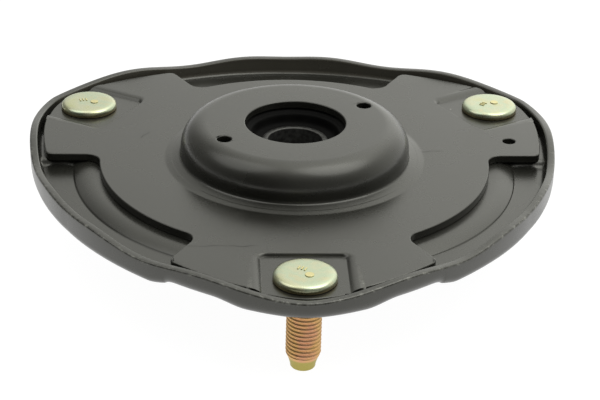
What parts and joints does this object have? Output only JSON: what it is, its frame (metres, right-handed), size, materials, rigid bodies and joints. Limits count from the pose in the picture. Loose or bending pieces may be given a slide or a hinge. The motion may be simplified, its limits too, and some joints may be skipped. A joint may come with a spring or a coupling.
{
  "type": "strut mount",
  "caption": "Rubber-bushed strut top mount: stamped steel pan and domed cover clamped by round-headed studs, with a sleeve for the strut rod held in rubber.",
  "frame": {"origin": "centre of the stud circle, on the mounting face under the stud bosses", "axes": "+Z along the strut axis from the mounting face towards the dome; the front stud lies on -Y"},
  "size_m": [0.1664, 0.1693, 0.0402],
  "materials": {
    "pan_paint": "satin black coating on stamped steel",
    "cover_paint": "satin black coating on stamped steel",
    "rubber": "moulded black rubber",
    "core_steel": "dark phosphated steel",
    "stud_zinc": "yellow-passivated zinc on steel"
  },
  "bodies": {
    "housing": {"base_pan": "pan_paint", "cover_plate": "cover_paint", "rubber_bush": "rubber", "stud_front": "stud_zinc", "stud_left": "stud_zinc", "stud_right": "stud_zinc"},
    "core": {"inner_sleeve": "core_steel", "core_plate": "core_steel"}
  },
  "joints": [
    {"name": "core_axial", "type": "slide", "parent": "housing", "child": "core", "axis": [0, 0, 1], "range_m": [-0.0025, 0.0025], "stiffness_N_per_m": 300000, "deforming": ["rubber_bush"]}
  ]
}
